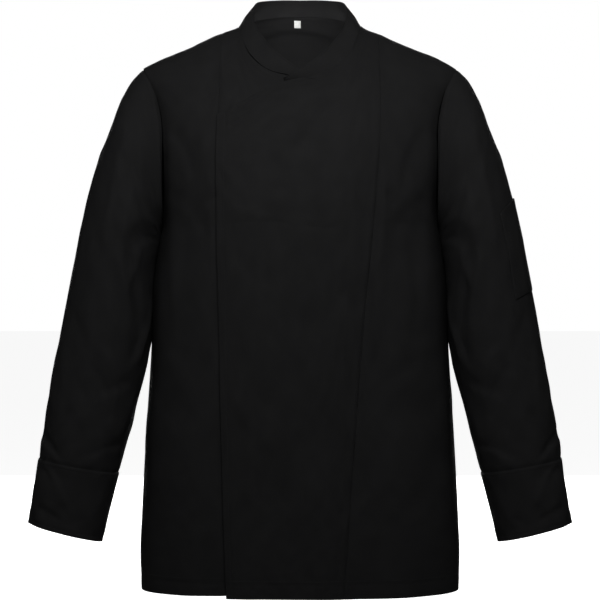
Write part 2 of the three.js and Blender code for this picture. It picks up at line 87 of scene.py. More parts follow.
floor_bm = bmesh.new()
bmesh.ops.create_grid(floor_bm, x_segments=1, y_segments=1, size=30)
bmesh.ops.translate(floor_bm, verts=floor_bm.verts, vec=(0, 0, FLOOR_Z))
floor_mesh = bpy.data.meshes.new("floor")
floor_bm.to_mesh(floor_mesh)
floor_bm.free()
floor = bpy.data.objects.new("floor", floor_mesh)
floor_mesh.materials.append(plain_material("pale floor", (0.93, 0.93, 0.93), 0.9))
floor_shader = floor_mesh.materials[0].node_tree.nodes["Principled BSDF"]
floor_shader.inputs["Emission Color"].default_value = (1, 1, 1, 1)
floor_shader.inputs["Emission Strength"].default_value = 0.9
floor.visible_diffuse = False
floor.visible_glossy = False
bpy.context.scene.collection.objects.link(floor)
print("floor at", FLOOR_Z)

# %% Light
bpy.context.scene.view_settings.view_transform = "Standard"


def soft_light(name, at, target, size, watts):
    data = bpy.data.lights.new(name, "AREA")
    data.shape = "RECTANGLE"
    data.size, data.size_y = size
    data.energy = watts
    light = bpy.data.objects.new(name, data)
    light.location = at
    light.visible_camera = False
    light.rotation_euler = (Vector(target) - Vector(at)).to_track_quat("-Z", "Y").to_euler()
    bpy.context.scene.collection.objects.link(light)
    return light


CHEST = (0, 0, -0.25)
soft_light("key", (0, -1.1, 0.5), CHEST, (0.6, 0.6), 13.2)
soft_light("fill left", (-2.6, -0.6, 0.0), CHEST, (1.2, 1.6), 5)
soft_light("fill right", (2.6, -0.6, 0.0), CHEST, (1.2, 1.6), 5)
soft_light("neck", (0, 0.002, -0.005), (0, 0.1, -0.008), (0.1, 0.04), 0.06)
soft_light("back", (0, 2.6, 0.3), CHEST, (2.4, 1.8), 70)

world = bpy.data.worlds.new("studio")
bpy.context.scene.world = world
world.use_nodes = True
world_tree = world.node_tree
seen = world_tree.nodes["Background"]
seen.inputs["Color"].default_value = (1, 1, 1, 1)
seen.inputs["Strength"].default_value = 1.0
cast = world_tree.nodes.new("ShaderNodeBackground")
cast.inputs["Strength"].default_value = 0.05
path = world_tree.nodes.new("ShaderNodeLightPath")
either = world_tree.nodes.new("ShaderNodeMixShader")
world_tree.links.new(path.outputs["Is Camera Ray"], either.inputs["Fac"])
world_tree.links.new(cast.outputs[0], either.inputs[1])
world_tree.links.new(seen.outputs[0], either.inputs[2])
world_tree.links.new(either.outputs[0], world_tree.nodes["World Output"].inputs["Surface"])

# %% [markdown]
# ## The cut, as tables
#
# A pattern cutter works from a few body sizes. These tables hold them in millimetres: the torso by
# height, the ridge of the shoulders, the armhole, the neck seam, the collar's top edge and the
# sleeve's sections. The first line of a table names its columns, and a smooth curve through each
# column gives every size in between.

# %% Tables, and a smooth curve through a column
SAMPLES = 400


def table(columns, *rows):
    return [dict(zip(columns.split(), row)) for row in rows]


def curve(rows, key, column):
    at = np.array([row[key] for row in rows], float)
    value = np.array([row[column] for row in rows], float)
    before = np.maximum(np.arange(len(at)) - 1, 0)
    after = np.minimum(np.arange(len(at)) + 1, len(at) - 1)
    slope = (value[after] - value[before]) / (at[after] - at[before])
    fine = np.linspace(at[0], at[-1], SAMPLES)
    i = np.clip(np.searchsorted(at, fine, side="right") - 1, 0, len(at) - 2)
    span = at[i + 1] - at[i]
    t = (fine - at[i]) / span
    bend = (1 - t) ** 2 * t * span * slope[i] - (1 - t) * t * t * span * slope[i + 1]
    smooth_line = value[i] + (value[i + 1] - value[i]) * t * t * (3 - 2 * t) + bend
    return lambda where: np.interp(where, fine, smooth_line)


def mix(a, b, t):
    return a + (b - a) * t


def smooth(value):
    t = np.clip(value, 0, 1)
    return t * t * (3 - 2 * t)


def power(value, exponent):
    return np.sign(value) * np.abs(value) ** exponent


# %% The torso
HEM_Z = -766
SHORT_HEM = 3.5
UNDERARM_Z = -275
UNDERARM_SHARE = 0.55  # the share of the panels' height below the underarm
SHOULDER_TIP_X, SHOULDER_TIP_Z = 213, -61
NECK_POINT_X = 83
SHOULDER_SEAM_Y = 6
RING_POWER = 2.45
TORSO = table(
    "z width front back",
    (-766, 215, 126, 120),
    (-702, 215.4, 127, 119),
    (-566, 209, 129, 114),
    (-443, 201.3, 132, 110),
    (-355, 198, 134.2, 114),
    (-300, 190.6, 134.1, 120.6),
    (-275, 188, 133.5, 123.4),
    (-235, 193, 131, 127),
    (-170, 200, 121, 128),
    (-110, 205, 100, 122),
    (-61, 226, 76, 120),
    (0, 240, 60, 118),
    (60, 250, 50, 118),
)
RIDGE = table(
    "x z front back",
    (0, 60, 200, 160),
    (30, 50, 190, 155),
    (60, 22, 160, 145),
    (83, -3, 135, 130),
    (107, -13, 122, 122),
    (150, -31.4, 112, 112),
    (190, -48.6, 100, 100),
    (213, -61, 90, 90),
    (226, -72, 86, 86),
)
torso_width = curve(TORSO, "z", "width")
torso_front, torso_back = curve(TORSO, "z", "front"), curve(TORSO, "z", "back")
ridge_z = curve(RIDGE, "x", "z")
ridge_front, ridge_back = curve(RIDGE, "x", "front"), curve(RIDGE, "x", "back")

print("half chest:", round(float(torso_width(-235))), "mm")

# %% Large folds, which run down the torso to the hem
FOLDS = table(
    "out top_x top_z bottom_x bottom_z width height",
    (-1, -128, -470, -150, -766, 27, 4),
    (-1, -35, -540, -48, -766, 30, -2.5),
    (-1, 28, -560, 30, -766, 30, 2),
    (-1, 122, -500, 138, -766, 28, 3.5),
    (1, 0, -140, 4, -450, 30, -5),
    (1, -62, -190, -88, -766, 27, 5),
    (1, 66, -210, 80, -766, 29, 4.5),
    (1, -128, -300, -142, -766, 24, -5),
    (1, 126, -280, 138, -766, 25, -4),
    (1, 2, -520, -6, -766, 34, -4),
)
FOLD_FADE = 0.35


def drape(outward, x, z):
    total = 0 * z
    for fold in FOLDS:
        if fold["out"] != outward:
            continue
        along = (fold["top_z"] - z) / (fold["top_z"] - fold["bottom_z"])
        centre = mix(fold["top_x"], fold["bottom_x"], along)
        end = smooth((1 - along) / FOLD_FADE) if fold["bottom_z"] > HEM_Z else 1
        rise = smooth(along / FOLD_FADE) * end
        total = total + fold["height"] * rise * np.exp(-(((x - centre) / fold["width"]) ** 2))
    return total * (1 - np.clip(np.abs(x) / torso_width(z), 0, 1) ** 8)


print(len(FOLDS), "large folds")


# %% The torso's surface
def torso_y(outward, x, z):
    """How far forward (outward -1) or back (outward 1) the torso's cloth is."""
    depth = torso_front(z) if outward < 0 else torso_back(z)
    turn = ridge_front(np.abs(x)) if outward < 0 else ridge_back(np.abs(x))
    across = np.clip(np.abs(x) / torso_width(z), 0, 1)
    ring = depth * (1 - across**RING_POWER) ** (1 / RING_POWER) + drape(outward, x, z)
    below = np.clip((ridge_z(np.abs(x)) - z) / turn, 0, 1)
    return mix(SHOULDER_SEAM_Y, outward * ring, np.sqrt(1 - (1 - below) ** 2))


print("chest depth:", round(float(torso_y(1, 0, -230) - torso_y(-1, 0, -230))), "mm")

# %% The seams
ARMHOLE = table(
    "z x",
    (-275, 188),
    (-262, 186.4),
    (-235, 184.6),
    (-171, 184.5),
    (-137, 186),
    (-100, 194),
    (-76, 205),
    (-61, 213),
)
FRONT_NECK = table(
    "x z",
    (-30, -87),
    (0, -81),
    (24, -76),
    (42, -70),
    (57, -58.6),
    (70.5, -41),
    (77, -22),
    (83, -3),
)
BACK_NECK = table(
    "x z",
    (0, 20),
    (30, 18.5),
    (60, 11),
    (76, 2),
    (83, -3),
)
RIGHT_SEAM = table(
    "z x",
    (HEM_Z, 95),
    (-610, 100),
    (-400, 104.5),
    (-200, 108),
    (-13, 107),
)
LEFT_SEAM = table(
    "z x",
    (HEM_Z, 57),
    (-610, 68),
    (-400, 84),
    (-300, 94),
    (-200, 103),
    (-131, 106),
    (-13, 107),
)
armhole_x = curve(ARMHOLE, "z", "x")
front_neck_z, back_neck_z = curve(FRONT_NECK, "x", "z"), curve(BACK_NECK, "x", "z")
right_seam_x, left_seam_x = curve(RIGHT_SEAM, "z", "x"), curve(LEFT_SEAM, "z", "x")
print("armhole:", SHOULDER_TIP_Z - UNDERARM_Z, "mm deep")

# %% [markdown]
# ## Folds and creases
#
# Cloth shows its weight in folds. The large ones run down the torso towards the hem and belong to
# its form. The creases are small: they pull from the collar, the armhole and the bend of the elbow.
# Each is a short soft trough or ridge, placed in a row of a table: where it starts and
# ends, how wide it is and how far it stands out. Uneven rows look like cloth, and even ones like
# a machine made them. A slow unevenness over the whole sheet stands for the hand of the cloth.

# %% Creases
CREASE_END = 0.22  # a crease fades over this share of its length at each end


def crease_height(rows, a, b):
    """The height of all creases at places (a, b) of a sheet, in millimetres."""
    total = 0 * a
    for row in rows:
        (a0, b0), (a1, b1) = row["from"], row["to"]
        run_a, run_b = a1 - a0, b1 - b0
        length = math.hypot(run_a, run_b)
        t = ((a - a0) * run_a + (b - b0) * run_b) / length**2
        held = np.clip(t, 0, 1)
        bow = row["bow"] * 4 * held * (1 - held)
        side = ((a - a0) * run_b - (b - b0) * run_a) / length + bow
        past = (t - held) * length
        lean = 1 + row["lean"] * np.tanh(side / row["width"])
        across = (side * lean) ** 2 + past**2
        fade = smooth((held + 0.1) / CREASE_END) * smooth((1.1 - held) / CREASE_END)
        total = total + row["height"] * fade * np.exp(-across / row["width"] ** 2)
    return total


def crease(start, end, width, height, bow=0, lean=0.35):
    return {"from": start, "to": end, "width": width, "height": height, "bow": bow, "lean": lean}


# In (x, z). A positive height stands out of the cloth.
FRONT_CREASES = [
    crease((46, -97), (2, -172), 13, -2.3, bow=5),
    crease((6, -168), (-36, -202), 12, -1.5, bow=-4),
    crease((30, -92), (-6, -150), 11, 1.1, bow=6),
    crease((-14, -238), (-50, -272), 12, 1.5, bow=-6),
    crease((-48, -276), (-82, -262), 11, 1.2, bow=-7),
    crease((2, -278), (6, -392), 13, 1.5, bow=3),
    crease((30, -290), (44, -400), 20, -1.6, bow=-6),
    crease((52, -362), (78, -388), 17, -2.2),
    crease((-52, -352), (-26, -366), 14, -1.4, bow=8),
    crease((-84, -318), (-60, -346), 7, -1.6),
    crease((-82, -112), (-92, -146), 5, 1.2, bow=-3),
    crease((-78, -122), (-88, -152), 5, -1.3, bow=-3),
    crease((-100, -196), (-84, -262), 9, 1.0, bow=5),
    crease((-81, -500), (-78, -530), 6, 0.9),
    crease((-113, -236), (-122, -250), 6, -2.1),
    crease((113, -236), (124, -252), 6, -2.1),
    crease((-166, -262), (-162, -404), 10, 1.9, bow=-4),
    crease((-147, -286), (-156, -420), 11, -2.0, bow=-5),
    crease((166, -260), (163, -408), 10, 1.9, bow=4),
    crease((146, -290), (155, -418), 11, -2.0, bow=5),
    crease((-172, -150), (-140, -215), 10, -2.0, bow=8),
    crease((172, -146), (138, -222), 10, -2.1, bow=-8),
    crease((-168, -232), (-120, -300), 12, -1.7, bow=10),
    crease((170, -238), (126, -296), 12, -1.6, bow=-9),
    crease((120, -300), (98, -470), 12, -1.5, bow=6),
    crease((112, -205), (104, -330), 6, 1.3, bow=3),
    crease((-128, -150), (-116, -330), 11, 1.1, bow=4),
    crease((-60, -430), (-40, -560), 18, 1.0, bow=6),
    crease((40, -470), (58, -640), 17, -1.1, bow=-6),
    crease((-176, -440), (-120, -470), 11, -1.2, bow=6),
    crease((180, -452), (132, -474), 10, -1.3, bow=-6),
    crease((-92, -40), (-128, -96), 12, -1.4, bow=-4),
    crease((94, -40), (132, -100), 12, -1.4, bow=4),
]
BACK_CREASES = [
    crease((-60, -8), (58, -12), 8, -1.8, bow=16),
    crease((-84, -44), (-10, -66), 11, -1.6, bow=9),
    crease((78, -40), (14, -62), 10, -1.4, bow=-9),
    crease((-176, -150), (-96, -236), 11, -2.6, bow=12),
    crease((-172, -196), (-92, -262), 9, 1.8, bow=10),
    crease((174, -146), (100, -228), 11, -2.4, bow=-13),
    crease((170, -206), (104, -270), 9, 1.9, bow=-8),
    crease((-170, -252), (-96, -342), 12, -2.3, bow=12),
    crease((172, -248), (90, -330), 12, -2.5, bow=-14),
    crease((-150, -402), (-30, -428), 11, -2.2, bow=-9),
    crease((20, -436), (150, -404), 11, -2.3, bow=-10),
    crease((-120, -446), (40, -462), 10, 1.8, bow=-8),
    crease((60, -372), (162, -352), 9, -1.7, bow=-6),
    crease((-164, -350), (-70, -380), 9, -1.6, bow=-6),
    crease((-40, -478), (96, -488), 9, -1.6, bow=7),
    crease((-104, -100), (-70, -190), 13, 1.6, bow=-7),
    crease((104, -96), (74, -180), 13, 1.7, bow=7),
    crease((-52, -520), (-66, -700), 13, 1.5, bow=4),
    crease((36, -560), (48, -740), 14, -1.6, bow=-5),
]

# On a sleeve, in (degrees from its outer line, towards the front; section number).
DEGREE, SECTION = 1.0, 50  # what a degree around and a section down measure, in millimetres


def on_sleeve(angle, row):
    return (angle * DEGREE, row * SECTION)


def sleeve_crease(start, end, width, height, bow=0, lean=0.35):
    return crease(on_sleeve(*start), on_sleeve(*end), width, height, bow, lean)


SLEEVE_CREASES = [
    sleeve_crease((118, 1.2), (84, 3.6), 12, -2.6, bow=8),
    sleeve_crease((150, 2.2), (98, 4.9), 10, 1.9, bow=8),
    sleeve_crease((66, 0.7), (44, 3.0), 13, -1.5, bow=5),
    sleeve_crease((150, 3.4), (112, 5.4), 10, -2.2, bow=7),
    sleeve_crease((112, 5.2), (140, 7.0), 9, -3.1, bow=-5),
    sleeve_crease((98, 5.6), (124, 7.2), 8, 1.9, bow=-5),
    sleeve_crease((170, 6.2), (148, 8.0), 5.5, 2.6, bow=4),
    sleeve_crease((158, 6.6), (132, 8.0), 7, -2.0, bow=4),
    sleeve_crease((90, 7.9), (124, 9.2), 8, 1.7, bow=-6),
    sleeve_crease((80, 8.4), (120, 9.7), 8, -1.7, bow=-7),
    sleeve_crease((62, 1.8), (78, 5.8), 7, 0.8, bow=4),
    sleeve_crease((76, 2.6), (90, 6.6), 6, -0.8, bow=-3),
    sleeve_crease((96, 2.4), (104, 5.8), 6, 0.8, bow=3),
    sleeve_crease((128, 4.6), (118, 6.2), 4.5, 1.6, bow=-4),
    sleeve_crease((34, 5.4), (52, 9.6), 9, 0.9, bow=5),
    sleeve_crease((68, 6.8), (76, 10.2), 7, 0.8, bow=-4),
    sleeve_crease((140, 8.6), (92, 9.2), 8, -1.8, bow=4),
    sleeve_crease((40, 7.4), (84, 8.3), 10, -1.6, bow=-5),
    sleeve_crease((10, 3.6), (30, 6.2), 14, 1.5, bow=5),
    sleeve_crease((54, 4.2), (66, 6.0), 12, -1.5, bow=-4),
    sleeve_crease((6, 10.3), (58, 10.7), 6, -1.8, bow=-4),
    sleeve_crease((2, 10.55), (70, 11.0), 6, 1.7, bow=-5),
    sleeve_crease((150, 10.2), (106, 10.6), 7, -1.6, bow=4),
    sleeve_crease((70, 9.4), (40, 10.2), 10, 1.2, bow=4),
    sleeve_crease((-112, 1.2), (-84, 3.4), 12, -2.6, bow=-8),
    sleeve_crease((-148, 2.0), (-100, 4.6), 10, 2.0, bow=-8),
    sleeve_crease((-60, 6.6), (-132, 7.4), 9, -3.0, bow=7),
    sleeve_crease((-48, 7.2), (-126, 8.0), 9, 2.6, bow=8),
    sleeve_crease((-56, 7.8), (-140, 8.7), 9, -3.0, bow=6),
    sleeve_crease((-40, 8.6), (-112, 9.3), 8, 1.8, bow=5),
    sleeve_crease((-70, 9.4), (-146, 10.0), 8, -1.8, bow=4),
    sleeve_crease((-30, 3.2), (-52, 6.0), 14, -1.7, bow=-6),
    sleeve_crease((-20, 9.6), (-60, 10.8), 9, -1.5, bow=5),
    sleeve_crease((52, 11.25), (86, 12.1), 8, 2.0, bow=-3),
    sleeve_crease((30, 11.2), (60, 11.5), 6, -1.5, bow=-3),
    sleeve_crease((42, 12.35), (86, 12.6), 6, -1.7, bow=-3),
    sleeve_crease((112, 12.3), (136, 12.9), 9, -1.6),
    sleeve_crease((-40, 11.6), (-96, 12.2), 8, -1.5, bow=4),
    sleeve_crease((-120, 12.0), (-70, 12.9), 9, 1.3, bow=-4),
]
print(len(FRONT_CREASES), "front,", len(BACK_CREASES), "back and", len(SLEEVE_CREASES), "sleeve creases")

# %% Unevenness
WAVES = table(  # millimetres from crest to crest across and down, height, and where it starts
    "across down height start",
    (151, 233, 0.55, 0.3),
    (97, -171, 0.4, 2.1),
    (61, 118, 0.24, 4.4),
    (-43, 71, 0.19, 1.2),
    (29, 47, 0.11, 5.3),
    (17, -31, 0.04, 3.6),
)


def unevenness(a, b, start=0.0):
    total = 0 * a
    for wave in WAVES:
        turn = 2 * math.pi * (a / wave["across"] + b / wave["down"]) + wave["start"] + start
        bend = 1.3 * np.sin(2 * math.pi * b / (2.3 * abs(wave["down"])) + start)
        total = total + wave["height"] * np.sin(turn + bend)
    return total


print("unevenness up to", round(sum(wave["height"] for wave in WAVES), 2), "mm")

# %% [markdown]
# ## Black twill
#
# The cloth is a matte poly-cotton twill. Its threads run as fine slanting ribs, too fine to see
# from far off, so the weave is bump and a slight change of tone, read along the cloth itself from
# its own UV map in metres. The same node group, with other values, makes the woven tape of the label.

# %% The weave group
weave = bpy.data.node_groups.new("Twill weave", "ShaderNodeTree")
for socket, kind, value in (
    ("UV", "NodeSocketVector", None),
    ("Rib", "NodeSocketFloat", 0.0009),
    ("Mottle Size", "NodeSocketFloat", 0.02),
):
    made = weave.interface.new_socket(socket, in_out="INPUT", socket_type=kind)
    if value is not None:
        made.default_value = value
for socket in ("Height", "Shade"):
    weave.interface.new_socket(socket, in_out="OUTPUT", socket_type="NodeSocketFloat")


def node(tree, kind, **values):
    made = tree.nodes.new(kind)
    for key, value in values.items():
        setattr(made, key, value)
    return made


def maths(tree, operation, first, second=0.0):
    made = node(tree, "ShaderNodeMath", operation=operation)
    for socket, value in zip(made.inputs, (first, second)):
        if isinstance(value, (int, float)):
            socket.default_value = value
        else:
            tree.links.new(value, socket)
    return made.outputs[0]


group_in, group_out = node(weave, "NodeGroupInput"), node(weave, "NodeGroupOutput")
split = node(weave, "ShaderNodeSeparateXYZ")
weave.links.new(group_in.outputs["UV"], split.inputs[0])
slant = maths(weave, "ADD", split.outputs["X"], split.outputs["Y"])
turns = maths(weave, "MULTIPLY", maths(weave, "DIVIDE", slant, group_in.outputs["Rib"]), 2 * math.pi)
cross = maths(weave, "SUBTRACT", split.outputs["X"], split.outputs["Y"])
cross_turns = maths(weave, "MULTIPLY", maths(weave, "DIVIDE", cross, group_in.outputs["Rib"]), math.pi)
ribs = maths(weave, "SINE", turns)
threads = maths(weave, "MULTIPLY", maths(weave, "SINE", cross_turns), 0.5)
weave.links.new(maths(weave, "ADD", ribs, threads), group_out.inputs["Height"])
mottle = node(weave, "ShaderNodeTexNoise", noise_dimensions="2D")
mottle.inputs["Detail"].default_value = 5
weave.links.new(group_in.outputs["UV"], mottle.inputs["Vector"])
weave.links.new(maths(weave, "DIVIDE", 1.0, group_in.outputs["Mottle Size"]), mottle.inputs["Scale"])
weave.links.new(mottle.outputs["Fac"], group_out.inputs["Shade"])
print("weave group:", [item.name for item in weave.interface.items_tree])


# %% The cloths
def woven(name, dark, light, roughness, bump, rib=0.0009, mottle_size=0.02, sheen=0.0):
    material = bpy.data.materials.new(name)
    material.use_nodes = True
    tree = material.node_tree
    shader = tree.nodes["Principled BSDF"]
    shader.inputs["Roughness"].default_value = roughness
    shader.inputs["Specular IOR Level"].default_value = 0.1
    shader.inputs["Sheen Weight"].default_value = sheen
    shader.inputs["Sheen Roughness"].default_value = 0.6
    uv = node(tree, "ShaderNodeUVMap", uv_map="cut")
    cloth = node(tree, "ShaderNodeGroup", node_tree=weave)
    cloth.inputs["Rib"].default_value = rib
    cloth.inputs["Mottle Size"].default_value = mottle_size
    tree.links.new(uv.outputs[0], cloth.inputs["UV"])
    ramp = node(tree, "ShaderNodeValToRGB")
    ramp.color_ramp.elements[0].position = 0.3
    ramp.color_ramp.elements[0].color = (*dark, 1)
    ramp.color_ramp.elements[1].position = 0.72
    ramp.color_ramp.elements[1].color = (*light, 1)
    tree.links.new(cloth.outputs["Shade"], ramp.inputs["Fac"])
    tree.links.new(ramp.outputs["Color"], shader.inputs["Base Color"])
    relief = node(tree, "ShaderNodeBump")
    relief.inputs["Strength"].default_value = bump
    relief.inputs["Distance"].default_value = 0.0001
    tree.links.new(cloth.outputs["Height"], relief.inputs["Height"])
    tree.links.new(relief.outputs["Normal"], shader.inputs["Normal"])
    return material


TWILL = woven("black twill", (0.0102, 0.0102, 0.0105), (0.0122, 0.0122, 0.0125), 0.82, 0.5)
TAPE = woven("label tape", (0.80, 0.80, 0.78), (0.88, 0.88, 0.86), 0.7, 0.4, rib=0.0005, mottle_size=0.004)
THREAD = plain_material("black thread", (0.012, 0.012, 0.0125), 0.7)
print("cloths:", TWILL.name, TAPE.name, THREAD.name)

# %% [markdown]
# ## From a table to cloth
#
# Every panel starts as a flat grid from `bmesh.ops.create_grid`, which stands for the piece as cut.
# Its steps crowd towards the edges, so the weave comes out finer there than in the middle.
# `place` puts each point of the cut, u across and v up, on the body in millimetres. The relief then
# moves it along the cloth's own normal, and a Solidify modifier gives the sheet its thickness on
# the inside. The grid is closer near the seams, where the cloth turns most.

# %% The cloth maker
CLOTH_WALL = 1.0
NUDGE = 1e-4  # how far apart two places are when a slope is measured


def crowd(t, amount):
    """Moves evenly spaced shares towards both ends."""
    return t - amount * np.sin(2 * math.pi * t) / (2 * math.pi)


def finish_piece(piece, material):
    piece.data.materials.append(material)
    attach(piece, "root")
    return piece


def placed(place, u, v):
    return np.stack(place(u, v), axis=-1)


def normals(place, u, v, closed, flip):
    wrap = (lambda t: t % 1.0) if closed else (lambda t: np.clip(t, 0, 1))
    du = placed(place, wrap(u + NUDGE), v) - placed(place, wrap(u - NUDGE), v)
    dv = placed(place, u, np.clip(v + NUDGE, 0, 1)) - placed(place, u, np.clip(v - NUDGE, 0, 1))
    normal = np.cross(du, dv) * (-1 if flip else 1)
    return normal / np.maximum(np.linalg.norm(normal, axis=-1, keepdims=True), 1e-12)


def surface(place, relief, u, v, closed=False, flip=False):
    """Points of the finished cloth and its normals, in millimetres."""
    points = placed(place, u, v)
    normal = normals(place, u, v, closed, flip)
    height = relief(u, v, points)
    return points + normal * height[..., None], normal


def cloth(
    name, columns, rows, place, relief, cut, wall=CLOTH_WALL, closed=False, flip=False, crowded=(0.7, 0.7)
):
    bm = bmesh.new()
    bmesh.ops.create_grid(bm, x_segments=columns, y_segments=rows, size=0.5)
    if flip:
        bmesh.ops.reverse_faces(bm, faces=bm.faces)
    layer = bm.loops.layers.uv.new("cut")
    for face in bm.faces:
        face.smooth = True
        for loop in face.loops:
            u, v = loop.vert.co.x + 0.5, loop.vert.co.y + 0.5
            loop[layer].uv = (u * cut[0] * MM, v * cut[1] * MM)
    flat = np.array([vertex.co for vertex in bm.verts]) + 0.5
    u = flat[:, 0] if closed else crowd(flat[:, 0], crowded[0])
    v = crowd(flat[:, 1], crowded[1])
    points, _ = surface(place, relief, u % 1.0 if closed else u, v, closed, flip)
    for vertex, point in zip(bm.verts, points * MM):
        vertex.co = point
    if closed:
        bmesh.ops.remove_doubles(bm, verts=bm.verts, dist=1e-5)
    mesh = bpy.data.meshes.new(name)
    bm.to_mesh(mesh)
    bm.free()
    piece = bpy.data.objects.new(name, mesh)
    bpy.context.scene.collection.objects.link(piece)
    solid = piece.modifiers.new("cloth thickness", "SOLIDIFY")
    solid.thickness = wall * MM
    solid.offset = -1
    print(name, len(mesh.vertices), "points")
    return piece


def dip(distance, depth, width):
    """A seam pulls the cloth in beside it."""
    return -depth * np.exp(-((distance / width) ** 2))


# %% The edges of the panels
FRONT, BACK = -1, 1


def edge_height(v, top_z, hem_z=HEM_Z):
    low = mix(hem_z, UNDERARM_Z, v / UNDERARM_SHARE)
    turn = (1 - np.cos(math.pi * (v - UNDERARM_SHARE) / (1 - UNDERARM_SHARE))) / 2
    return np.where(v < UNDERARM_SHARE, low, mix(UNDERARM_Z, top_z, turn))


def side_edge(v, hem_z):
    z = edge_height(v, SHOULDER_TIP_Z, hem_z)
    return np.where(v < UNDERARM_SHARE, torso_width(z), armhole_x(z)), z


def ring_turn(x, z):
    """How far round the torso a point is, from 0 at the middle to a quarter turn at the side."""
    return np.arcsin(np.clip(x / torso_width(z), 0, 1) ** (RING_POWER / 2))


def ring_share(low, high, u):
    """Even steps round the torso between two turns, as shares of the distance across."""
    start, end = np.sin(low) ** (2 / RING_POWER), np.sin(high) ** (2 / RING_POWER)
    here = np.sin(mix(low, high, u)) ** (2 / RING_POWER)
    return (here - start) / np.maximum(end - start, 1e-9)


def on_torso(outward, x, z):
    return x, torso_y(outward, x, z) + 0 * x, z + 0 * x


print("the side seam is", round(UNDERARM_Z - HEM_Z), "mm long")

# %% [markdown]
# ## Torso
#
# The back is one panel. Each front is two, with a panel seam that curves from the shoulder to the
# hem. The wearer's left front laps over the right one and closes with a concealed fastening, so
# its free edge lies over the right panel seam and casts a dark line there.

# %% Back
ARMHOLE_REACH = 7
QUARTER_ARC = 150  # from the middle of the front round to the side, in millimetres
HEM_FOLD = 19
BACK_LENGTH, FRONT_LENGTH = 760, 700  # roughly, from the hem to the top


def armhole_pull(z):
    """The armhole seam pulls the cloth in: little at the shoulder, more down the chest."""
    return mix(0.5, 2.6, smooth((-75 - z) / 90))


def side_arc(x, z):
    """How far round the torso the side seam still is."""
    return (math.pi / 2 - ring_turn(np.abs(x), z)) * QUARTER_ARC


def side_pull(x, z):
    """The side seam and the armhole seam pull the cloth in."""
    armhole = dip(armhole_x(z) - np.abs(x), armhole_pull(z), ARMHOLE_REACH)
    side = dip(side_arc(x, z), 0.8, 3)
    return np.where(z < UNDERARM_Z, mix(side, armhole, smooth((z - UNDERARM_Z) / 14 + 1)), armhole)


def held_at_side(x, z):
    """Creases die out before the side seam, so that both sheets meet there."""
    return np.where(z < UNDERARM_Z, smooth(side_arc(x, z) / 14), smooth(side_arc(x, z) / 8))


def place_back(u, v):
    side_x, side_z = side_edge(v, HEM_Z)
    most = ring_turn(side_x, side_z)
    here = np.abs(2 * u - 1)
    away = side_x * ring_share(0 * most, most, here)
    top_most = ring_turn(SHOULDER_TIP_X, SHOULDER_TIP_Z)
    top_x = SHOULDER_TIP_X * ring_share(0 * u, top_most + 0 * u, here)
    top_z = np.where(top_x < NECK_POINT_X, back_neck_z(top_x), ridge_z(top_x))
    x = np.where(u < 0.5, away, -away)
    return on_torso(BACK, x, side_z + (top_z - SHOULDER_TIP_Z) * v)


def hem_line(z):
    """Where the hem's fold ends inside, the stitches pull a faint line."""
    return dip(z - HEM_Z - HEM_FOLD, 0.22, 2.2)


def relief_back(u, v, points):
    x, z = points[..., 0], points[..., 2]
    wear = crease_height(BACK_CREASES, x, z) + unevenness(x, z, start=1.7)
    top = dip((1 - v) * BACK_LENGTH, 0.6, 3)
    return wear * smooth((1 - v) / 0.02) * held_at_side(x, z) + side_pull(x, z) + hem_line(z) + top


back = cloth("back_panel", 150, 190, place_back, relief_back, (560, 790), crowded=(0.5, 0.7))

# %% Side panels of the front
SEAM_TOP_X = 107


def place_side(sign, seam_x, hem_at_seam, hem_at_side):
    def place(u, v):
        seam_top_z = ridge_z(SEAM_TOP_X)
        low_z = edge_height(v, seam_top_z, hem_at_seam)
        low_x = seam_x(low_z)
        high_x, high_z = side_edge(v, hem_at_side)
        share = ring_share(ring_turn(low_x, high_z), ring_turn(high_x, high_z), u)
        seam_turn = ring_turn(SEAM_TOP_X, SHOULDER_TIP_Z)
        tip_turn = ring_turn(SHOULDER_TIP_X, SHOULDER_TIP_Z)
        top_share = ring_share(seam_turn + 0 * u, tip_turn + 0 * u, u)
        top_x = mix(SEAM_TOP_X, SHOULDER_TIP_X, top_share)
        arch = ridge_z(top_x) - mix(seam_top_z, SHOULDER_TIP_Z, top_share)
        return on_torso(FRONT, sign * mix(low_x, high_x, share), mix(low_z, high_z, share) + arch * v)

    return place


def relief_side(sign, seam_x, seam_pull, seam_reach):
    def relief(u, v, points):
        x, z = points[..., 0], points[..., 2]
        wear = crease_height(FRONT_CREASES, x, z) + unevenness(x, z)
        top = dip((1 - v) * FRONT_LENGTH, 0.8, 3)
        seam = dip(sign * x - seam_x(z), seam_pull(z), seam_reach)
        return wear * held_at_side(x, z) + side_pull(x, z) + top + seam + hem_line(z)

    return relief


def left_pull(z):
    return mix(0.3, 0.8, smooth((-110 - z) / 200))


def right_pull(z):
    return mix(0.4, 3.4, smooth((-110 - z) / 90))


left_side = place_side(1, left_seam_x, HEM_Z, HEM_Z), relief_side(1, left_seam_x, left_pull, 3.5)
right_side = (
    place_side(-1, right_seam_x, HEM_Z + SHORT_HEM, HEM_Z + 1),
    relief_side(-1, right_seam_x, right_pull, 6.0),
)
SIDE_CUT = (150, 720)
side_front_left = cloth("side_front_panel_left", 60, 180, *left_side, SIDE_CUT)
side_front_right = cloth("side_front_panel_right", 60, 180, *right_side, SIDE_CUT, flip=True)

# %% Lap and underlap
LAP_LIFT, LAP_FADE_FROM = 2.6, 34
LAP_CORNER_X, LAP_CORNER_Z = -107, -131
LAP_PAST_SEAM = 1.2
COLLAR_TIP_X = -21
UNDERLAP_PAST_CENTRE = 22


